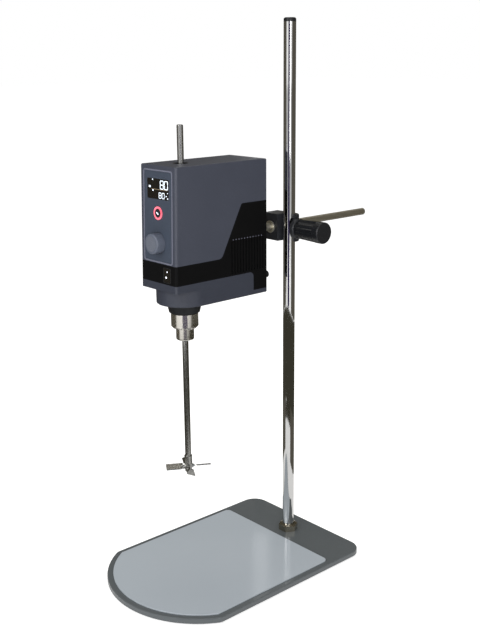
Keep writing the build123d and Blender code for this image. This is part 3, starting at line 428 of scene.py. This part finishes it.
ringRed = glowing("ringRed", {
    "dark": (0.72, 0.045, 0.085), "light": (0.95, 0.22, 0.28), "glow": 0.85, "scale": 160,
})
digitWhite = glowing("digitWhite", {
    "dark": (0.66, 0.76, 0.86), "light": (0.86, 0.93, 1.0), "glow": 0.95, "scale": 700,
})
lampWhite = glowing("lampWhite", {
    "dark": (0.82, 0.84, 1.0), "light": (0.95, 0.96, 1.0), "glow": 1.0, "scale": 900,
})
dividerBrown = glowing("dividerBrown", {
    "dark": (0.17, 0.13, 0.08), "light": (0.26, 0.21, 0.14), "glow": 0.25, "scale": 300,
})

dialUp = 79.5  # the speed knob's axis, in mm up the front
dialSpot = tuple(onFace(0, dialUp))


def turnedKnob(name, looks):
    # shell plastic with faint lathe rings round the speed knob's own axis
    def wires(tree):
        point = objectPoint(tree, centre=dialSpot, turn=faceTurn)
        across = addNode(tree, "ShaderNodeSeparateXYZ", None, {0: point}, out="X")
        up = across.fellow("Y")
        radius = (across * across + up * up) ** 0.5
        rings = (radius * looks["ringsPerMetre"]).maths("SINE")
        grain = noise(tree, objectPoint(tree), scale=2600, detail=2)
        cloud = noise(tree, objectPoint(tree), scale=40)
        turned = bump(tree, rings, looks["ringDepth"])
        return {"Base Color": blendColours(tree, cloud, looks["dark"], looks["light"]),
                "Roughness": looks["rough"] + rings * 0.05 + sway(grain, 0.08),
                "Normal": bump(tree, grain, distance=0.000012, under=turned)}
    return newFinish(name, {"IOR": 1.5}, wires)


knobGrey = turnedKnob("knobGrey", {
    "dark": (0.096, 0.110, 0.145), "light": (0.112, 0.127, 0.165), "rough": 0.33,
    "ringsPerMetre": 7200, "ringDepth": 0.000012,
})
knobFace = turnedKnob("knobFace", {
    "dark": (0.118, 0.130, 0.162), "light": (0.138, 0.151, 0.185), "rough": 0.30,
    "ringsPerMetre": 5200, "ringDepth": 0.00003,
})

finishes = {
    plateGrey: ["base_plate"],
    padGloss: ["base_pad"],
    footRubber: ["base_feet"],
    poleChrome: ["pole"],
    footNickel: ["pole_nut"],
    wornNickel: ["chuck_body", "chuck_sleeve"],
    gripBlack: ["pole_knob", "rod_knob"],
    knobBlack: ["pole_cap", "bearing_flange", "top_bush", "switch_frame",
                "power_switch", "fuse_holder", "fuse_cap", "power_inlet"],
    clampBlack: ["clamp_body"],
    rodSteel: ["arm_rod", "rod_lock_nut"],
    groundSteel: ["spigot_nut", "pole_screw", "rod_screw", "hub_screw", "motor_screws",
                  "flange_screws", "housing_screws", "chuck_jaw_a", "chuck_jaw_b", "chuck_jaw_c",
                  "stirring_shaft", "propeller", "spindle", "motor_rotor", "encoder_shaft",
                  "lower_bearing", "upper_bearing"],
    turnedBrass: ["pole_jaw", "rod_jaw", "inlet_pins"],
    shellGrey: ["upper_shell"],
    lowerGrey: ["lower_housing"],
    panelGrey: ["front_panel"],
    knobGrey: ["speed_knob"],
    knobFace: ["knob_cap"],
    coverBlack: ["rear_cover"],
    displayGlass: ["display_window", "indicator_window"],
    lcdDark: ["lcd_module"],
    keyDark: ["start_key"],
    boardGreen: ["display_board", "power_board"],
    ringRed: ["key_ring"],
    lampWhite: ["status_lights"],
    castAluminium: ["chassis", "motor_case", "motor_pulley", "spindle_pulley", "encoder"],
    beltRubber: ["drive_belt"],
}
for finish, names in finishes.items():
    for name in names:
        for slot in nodes[name].material_slots:
            slot.material = finish


print("stage: details")
smoothAngle = radians(30)  # sharper edges than this stay sharp


def addPrimitive(name, kind, **settings):
    bpy.ops.object.select_all(action="DESELECT")
    getattr(bpy.ops.mesh, f"primitive_{kind}_add")(**settings)
    piece = bpy.context.object
    piece.name = name
    return piece


def selectOnly(piece):
    bpy.ops.object.select_all(action="DESELECT")
    piece.select_set(True)
    bpy.context.view_layer.objects.active = piece


def settle(piece, spot, turn=(0, 0, 0)):  # the place goes into the mesh
    selectOnly(piece)
    piece.location, piece.rotation_euler = spot, turn
    bpy.ops.object.transform_apply(location=True, rotation=True, scale=True)


def copyOf(piece, name):  # a copy with its own mesh
    selectOnly(piece)
    bpy.ops.object.duplicate(linked=False)
    twin = bpy.context.object
    twin.name = name
    return twin


def joinAll(pieces, name):
    bpy.ops.object.select_all(action="DESELECT")
    for piece in pieces:
        piece.select_set(True)
    bpy.context.view_layer.objects.active = pieces[0]
    bpy.ops.object.join()
    pieces[0].name = name
    return pieces[0]


def dress(piece, material, body):
    selectOnly(piece)
    piece.data.materials.clear()
    piece.data.materials.append(material)
    bpy.ops.object.shade_smooth_by_angle(angle=smoothAngle)
    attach(piece, body)


def softenEdges(piece, width, segments=2):
    selectOnly(piece)
    bevel = piece.modifiers.new("bevel", "BEVEL")
    bevel.width, bevel.segments, bevel.limit_method = width, segments, "ANGLE"
    bpy.ops.object.modifier_apply(modifier="bevel")


def raiseFaces(thick, rim=None):
    # in edit mode: lifts all faces into a solid; with rim only a frame that wide is kept
    bpy.ops.mesh.select_all(action="SELECT")
    if rim:
        bpy.ops.mesh.inset(thickness=rim)
        bpy.ops.mesh.delete(type="FACE")
        bpy.ops.mesh.select_all(action="SELECT")
    bpy.ops.mesh.extrude_region_move(TRANSFORM_OT_translate={"value": (0, 0, thick)})
    bpy.ops.mesh.select_all(action="SELECT")
    bpy.ops.mesh.normals_make_consistent(inside=False)


def flatPlate(name, width, height, thick, corner, rim=None, rounding=5):
    # a plate, front upwards, from z = 0 to thick; rounding is the number of steps in a corner
    piece = addPrimitive(name, "plane", size=1)
    piece.scale = (width, height, 1)
    bpy.ops.object.transform_apply(location=False, rotation=False, scale=True)
    bpy.ops.object.mode_set(mode="EDIT")
    bpy.ops.mesh.select_all(action="SELECT")
    bpy.ops.mesh.bevel(offset=corner, segments=rounding, affect="VERTICES")
    raiseFaces(thick, rim)
    bpy.ops.object.mode_set(mode="OBJECT")
    return piece


# Frames on the head's front, sizes and places in mm
# a pale grey: the colour of the panel's frame, and also the painted highlight on the vent rib tips
paleRimAndRibHighlightLooks = {
    **shellLooks, "dark": (0.135, 0.140, 0.185), "light": (0.155, 0.162, 0.210), "rough": 0.36,
}
paleRimAndRibHighlight = mouldedPlastic("paleRimAndRibHighlight", paleRimAndRibHighlightLooks)
panelRim = {  # the pale frame round the panel
    "width": 57.4, "height": 112.9, "thick": 0.75, "corner": 4, "rim": 1.9, "edge": 0.25,
    "across": 0, "up": 111.75, "out": -0.45,
}
windowRim = {  # the dark frame round the small window in the band
    "width": 14.6, "height": 19, "thick": 0.4, "corner": 1.8, "rim": 0.75, "edge": 0.25,
    "across": 17.2, "up": 41.8, "out": -0.2,
}


def makeRim(name, sizes, material):
    shape = [sizes[size] * mm for size in ("width", "height", "thick", "corner", "rim")]
    piece = flatPlate(name, *shape)
    softenEdges(piece, sizes["edge"] * mm)
    settle(piece, onFace(sizes["across"], sizes["up"], sizes["out"]), faceTurn)
    dress(piece, material, "head")


makeRim("panelRim", panelRim, paleRimAndRibHighlight)
makeRim("windowRim", windowRim, knobBlack)

# What the display shows: seven-segment digits, small marks and a divider, in mm on the glass
figures = {
    "out": -0.3,  # the glass, from the head's front
    "thick": 0.12,
    "space": 0.12,  # between the ends of two segments
    "point": 0.46,  # how far a segment's corners are cut, as a share of its stroke
}
digitSegments = {  # each segment's middle, as shares of half the digit across and up, and its turn
    "top": (0, 1, 0), "middle": (0, 0, 0), "bottom": (0, -1, 0),
    "highLeft": (-1, 0.5, 90), "highRight": (1, 0.5, 90),
    "lowLeft": (-1, -0.5, 90), "lowRight": (1, -0.5, 90),
}
litSegments = {
    8: list(digitSegments),
    0: [name for name in digitSegments if name != "middle"],
}
speedFigures = {
    "digits": (8, 0), "left": 4.4, "up": 150.4,
    "width": 7.0, "height": 10.6, "stroke": 1.0, "gap": 1.3,
}
setFigures = {
    "digits": (8, 0), "left": 1.9, "up": 137.6,
    "width": 5.0, "height": 7.2, "stroke": 0.72, "gap": 1.2,
}


def makeNumber(name, looks):
    width, height, stroke = (looks[size] * mm for size in ("width", "height", "stroke"))
    halfAcross, halfUp = (width - stroke) / 2, (height - stroke) / 2
    space, thick = figures["space"] * mm, figures["thick"] * mm
    point = figures["point"] * stroke
    models = {
        0: flatPlate("levelSegment", 2 * halfAcross - space, stroke, thick, point, rounding=1),
        90: flatPlate("uprightSegment", halfUp - space, stroke, thick, point, rounding=1),
    }
    pieces = []
    for number, digit in enumerate(looks["digits"]):
        middle = looks["left"] + looks["width"] / 2 + number * (looks["width"] + looks["gap"])
        for segment in litSegments[digit]:
            across, up, turn = digitSegments[segment]
            piece = copyOf(models[turn], segment)
            settle(piece, (across * halfAcross, up * halfUp, 0), (0, 0, radians(turn)))
            settle(piece, onFace(middle, looks["up"], figures["out"]), faceTurn)
            pieces.append(piece)
    for model in models.values():
        bpy.data.objects.remove(model)
    dress(joinAll(pieces, name), digitWhite, "head")


makeNumber("speedFigures", speedFigures)
makeNumber("setFigures", setFigures)

displayMarks = {
    "corner": 0.3,
    "marks": [  # across, up, width and height
        (-10.2, 156, 1.6, 1.3), (-16, 147.2, 3.4, 2.2), (-9.6, 143, 2.4, 1.6),
        (19.2, 141.4, 1.4, 1.0), (19.2, 135.0, 1.6, 1.6), (16.6, 137.6, 2.2, 0.9),
    ],
}


def makeMarks(sizes):
    pieces = []
    for across, up, width, height in sizes["marks"]:
        piece = flatPlate("mark", width * mm, height * mm, figures["thick"] * mm,
                          sizes["corner"] * mm)
        settle(piece, onFace(across, up, figures["out"]), faceTurn)
        pieces.append(piece)
    dress(joinAll(pieces, "displayMarks"), digitWhite, "head")


makeMarks(displayMarks)


def makeFlatMark(name, sizes, material, body):
    shape = [sizes[size] * mm for size in ("width", "height", "thick", "corner")]
    piece = flatPlate(name, *shape)
    settle(piece, (0, 0, 0), (0, 0, radians(sizes["turn"])))
    settle(piece, onFace(sizes["across"], sizes["up"], sizes["out"]), faceTurn)
    dress(piece, material, body)


displayDivider = {
    "width": 31, "height": 0.7, "thick": figures["thick"], "corner": 0.2,
    "across": 3.2, "up": 144.5, "out": figures["out"], "turn": 0,
}
makeFlatMark("displayDivider", displayDivider, dividerBrown, "head")

keyTick = {  # the white tick on the start key
    "width": 4.4, "height": 1.6, "thick": 0.12, "corner": 0.5,
    "across": -0.2, "up": 115.7, "out": 0.58, "turn": -32,
}
makeFlatMark("keyTick", keyTick, digitWhite, "key")

# Small rounded tips on top of the ribs between the vents, on both flanks, in mm; their pale colour
# is a painted highlight, the light caught by each rib top
paintedRibHighlights = {
    "first": 92.4, "pitch": 4.8, "count": 11, "up": 76.2, "out": -0.05,
    "width": 1.3, "height": 1.1, "thick": 0.35, "corner": 0.4,
}


def makePaintedRibHighlights(sizes):
    shape = [sizes[size] * mm for size in ("width", "height", "thick", "corner")]
    model = flatPlate("oneHighlightTip", *shape)
    highlightTips = []
    for flank in (-1, 1):
        for number in range(sizes["count"]):
            back = sizes["first"] + number * sizes["pitch"]
            highlightTip = copyOf(model, "highlightTip")
            settle(highlightTip, onSide(back, sizes["up"], sizes["out"], flank), (0, flank * pi / 2, 0))
            highlightTips.append(highlightTip)
    bpy.data.objects.remove(model)
    # the pale grey on each tip is a painted highlight on the rib tops
    dress(joinAll(highlightTips, "paintedRibHighlights"), paleRimAndRibHighlight, "head")


makePaintedRibHighlights(paintedRibHighlights)

# The steel collar that the rod passes through in front of the clamp, in mm
rodCollar = {
    "outer": 8.2, "inner": 5.1, "length": 1.8, "edge": 0.4, "sides": 64,
    "fromPole": 13.1,  # from the pole's axis to the collar's seat on the clamp
}


def makeCollar(sizes):
    piece = addPrimitive("rodCollar", "circle", vertices=sizes["sides"],
                         radius=sizes["outer"] * mm, fill_type="NGON")
    bpy.ops.object.mode_set(mode="EDIT")
    raiseFaces(sizes["length"] * mm, rim=(sizes["outer"] - sizes["inner"]) * mm)
    bpy.ops.object.mode_set(mode="OBJECT")
    softenEdges(piece, sizes["edge"] * mm, segments=3)
    settle(piece, (headX, poleY - sizes["fromPole"] * mm, clampZ), (pi / 2, 0, 0))
    dress(piece, rodSteel, "clamp")


makeCollar(rodCollar)


print("stage: studio")
studio = {"floorSize": 40, "floorColour": 0.80, "floorGlow": 0.54, "worldForObject": 0.62}


def seenBy(tree, ray):  # 1 for rays of that kind, otherwise 0
    return addNode(tree, "ShaderNodeLightPath", out=f"Is {ray} Ray")


def makeWorld(looks):
    # white where it is seen, mirrored or seen through, and dimmer as a light on the object
    world = bpy.data.worlds.new("studioWorld")
    bpy.context.scene.world = world
    tree = emptyTree(world)
    seen = seenBy(tree, "Camera").maths("MAXIMUM", seenBy(tree, "Glossy"))
    seen = seen.maths("MAXIMUM", seenBy(tree, "Transmission"))
    strength = looks["worldForObject"] + seen * (1 - looks["worldForObject"])
    light = addNode(tree, "ShaderNodeBackground", None,
                    {"Color": (1, 1, 1, 1), "Strength": strength})
    addNode(tree, "ShaderNodeOutputWorld", None, {"Surface": light}, out=None)


def makeFloor(looks):
    floor = addPrimitive("studioFloor", "plane", size=looks["floorSize"], location=(0, 0, 0))
    material = bpy.data.materials.new("floorPaper")
    tree = emptyTree(material)
    shade = looks["floorColour"]
    matt = addNode(tree, "ShaderNodeBsdfDiffuse", None, {"Color": (shade, shade, shade, 1)})
    # the glow is for the camera alone, because the polished metal would mirror it
    glow = addNode(tree, "ShaderNodeEmission", None,
                   {"Strength": seenBy(tree, "Camera") * looks["floorGlow"]})
    both = addNode(tree, "ShaderNodeAddShader", None, {0: matt, 1: glow})
    addNode(tree, "ShaderNodeOutputMaterial", None, {"Surface": both}, out=None)
    floor.data.materials.append(material)


def darkCloth(name, shade):
    material = bpy.data.materials.new(name)
    tree = emptyTree(material)
    glow = addNode(tree, "ShaderNodeEmission", None, {"Color": (*shade, 1), "Strength": 1.0})
    addNode(tree, "ShaderNodeOutputMaterial", None, {"Surface": glow}, out=None)
    return material


oliveCloth = darkCloth("oliveCloth", (0.046, 0.043, 0.031))
sideCloth = darkCloth("sideCloth", (0.10, 0.092, 0.075))
violetCloth = darkCloth("violetCloth", (0.032, 0.024, 0.075))

# Curved cloths round the stand that only reflections see. Bearings are in degrees from the
# camera's, positive to the right in the picture, and the gaps between them are the windows.
wallBand = {"radius": 0.42, "from": 0.0, "to": 0.22, "sides": 96}
tallBand = {"radius": 0.43, "from": 0.22, "to": 2.2, "sides": 96}
footBand = {"radius": 0.27, "from": 0.0, "to": 0.10, "sides": 96}
leftSide = {"bearings": (-180, -66), "material": sideCloth}
rightSide = {"bearings": (44, 180), "material": sideCloth}
cloths = {
    "lowCloth": {**wallBand, "bearings": (-180, 180), "material": oliveCloth},
    "leftCloth": {**tallBand, **leftSide},
    "midCloth": {**tallBand, "bearings": (-26, 14), "material": violetCloth},
    "rightCloth": {**tallBand, **rightSide},
    "leftFootCloth": {**footBand, **leftSide},
    "rightFootCloth": {**footBand, **rightSide},
}


def makeCloth(name, looks):
    cloth = addPrimitive(name, "circle", vertices=looks["sides"], radius=looks["radius"],
                         location=(0, 0, looks["from"]))
    bpy.ops.object.transform_apply(location=True, rotation=False, scale=False)
    bpy.ops.object.mode_set(mode="EDIT")
    bpy.ops.mesh.select_all(action="DESELECT")
    bpy.ops.object.mode_set(mode="OBJECT")
    toCamera = atan2(cameraFit["place"][1], cameraFit["place"][0])
    start, end = (radians(bearing) for bearing in looks["bearings"])
    for vertex in cloth.data.vertices:
        bearing = atan2(vertex.co.y, vertex.co.x) - toCamera
        bearing = (bearing + pi) % (2 * pi) - pi
        vertex.select = not (start <= bearing <= end)
    bpy.ops.object.mode_set(mode="EDIT")
    bpy.ops.mesh.delete(type="VERT")
    bpy.ops.mesh.select_all(action="SELECT")
    height = looks["to"] - looks["from"]
    bpy.ops.mesh.extrude_region_move(TRANSFORM_OT_translate={"value": (0, 0, height)})
    bpy.ops.object.mode_set(mode="OBJECT")
    cloth.data.materials.append(looks["material"])
    cloth.visible_camera = cloth.visible_diffuse = False
    cloth.visible_shadow = cloth.visible_transmission = False


white, warm = (1, 1, 1), (1, 0.96, 0.88)
lamps = {
    "keyLamp": {"place": (0.0, -2.5, 1.8), "aimZ": 0.35, "size": 1.5, "power": 20, "tint": white},
    "frontLamp": {"place": (1.62, -1.49, 0.75), "aimZ": 0.45, "size": 0.9, "power": 22,
                  "tint": white},
    "fillLamp": {"place": (2.4, 0.2, 1.5), "aimZ": 0.35, "size": 1.6, "power": 4, "tint": white},
    "topLamp": {"place": (-0.7, 0.7, 2.6), "aimZ": 0.4, "size": 1.4, "power": 16, "tint": warm},
}


def addLamp(name, looks):
    data = bpy.data.lights.new(name, "AREA")
    data.shape, data.size = "SQUARE", looks["size"]
    data.energy, data.color = looks["power"], looks["tint"]
    lamp = bpy.data.objects.new(name, data)
    bpy.context.scene.collection.objects.link(lamp)
    lamp.location = looks["place"]
    lamp.rotation_mode = "QUATERNION"
    shining = Vector((0, 0, looks["aimZ"])) - Vector(looks["place"])
    lamp.rotation_quaternion = shining.to_track_quat("-Z", "Y")


makeWorld(studio)
makeFloor(studio)
for name, looks in cloths.items():
    makeCloth(name, looks)
for name, looks in lamps.items():
    addLamp(name, looks)

bpy.context.scene.view_settings.view_transform = "Standard"
